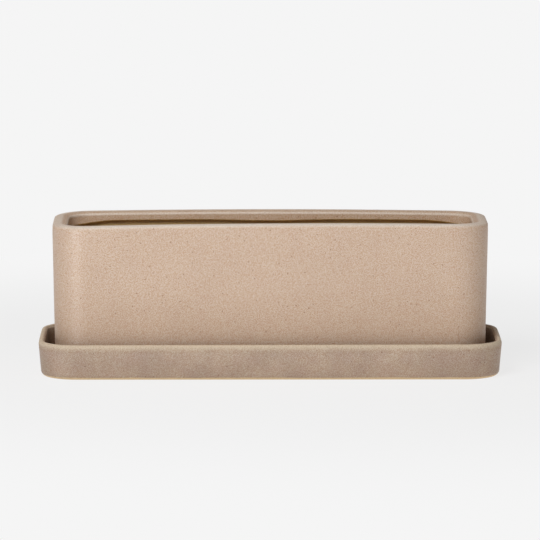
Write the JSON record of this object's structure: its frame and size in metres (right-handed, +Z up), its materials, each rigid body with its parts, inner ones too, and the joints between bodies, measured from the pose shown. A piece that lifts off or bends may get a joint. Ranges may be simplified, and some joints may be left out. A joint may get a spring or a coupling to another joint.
{
  "type": "indoor herb planter",
  "caption": "Long rounded stoneware trough for herbs, with a thick overhanging lip and a drained floor, standing loose in a shallow drip saucer of the same ware.",
  "frame": {"origin": "on the table under the middle of the saucer", "axes": "+Z up, +X along the length, the long front face looks along -Y"},
  "size_m": [0.36, 0.121, 0.1205],
  "materials": {
    "saucer_glaze": "matt clouded stoneware glaze, bare clay on the foot",
    "pot_glaze": "matt speckled stoneware glaze, bare clay on the foot ring"
  },
  "bodies": {
    "saucer": {"saucer": "saucer_glaze"},
    "pot": {"pot": "pot_glaze"}
  },
  "joints": [
    {"name": "pot_lift", "type": "slide", "parent": "saucer", "child": "pot", "axis": [0, 0, 1], "range_m": [0, 0.06]}
  ]
}
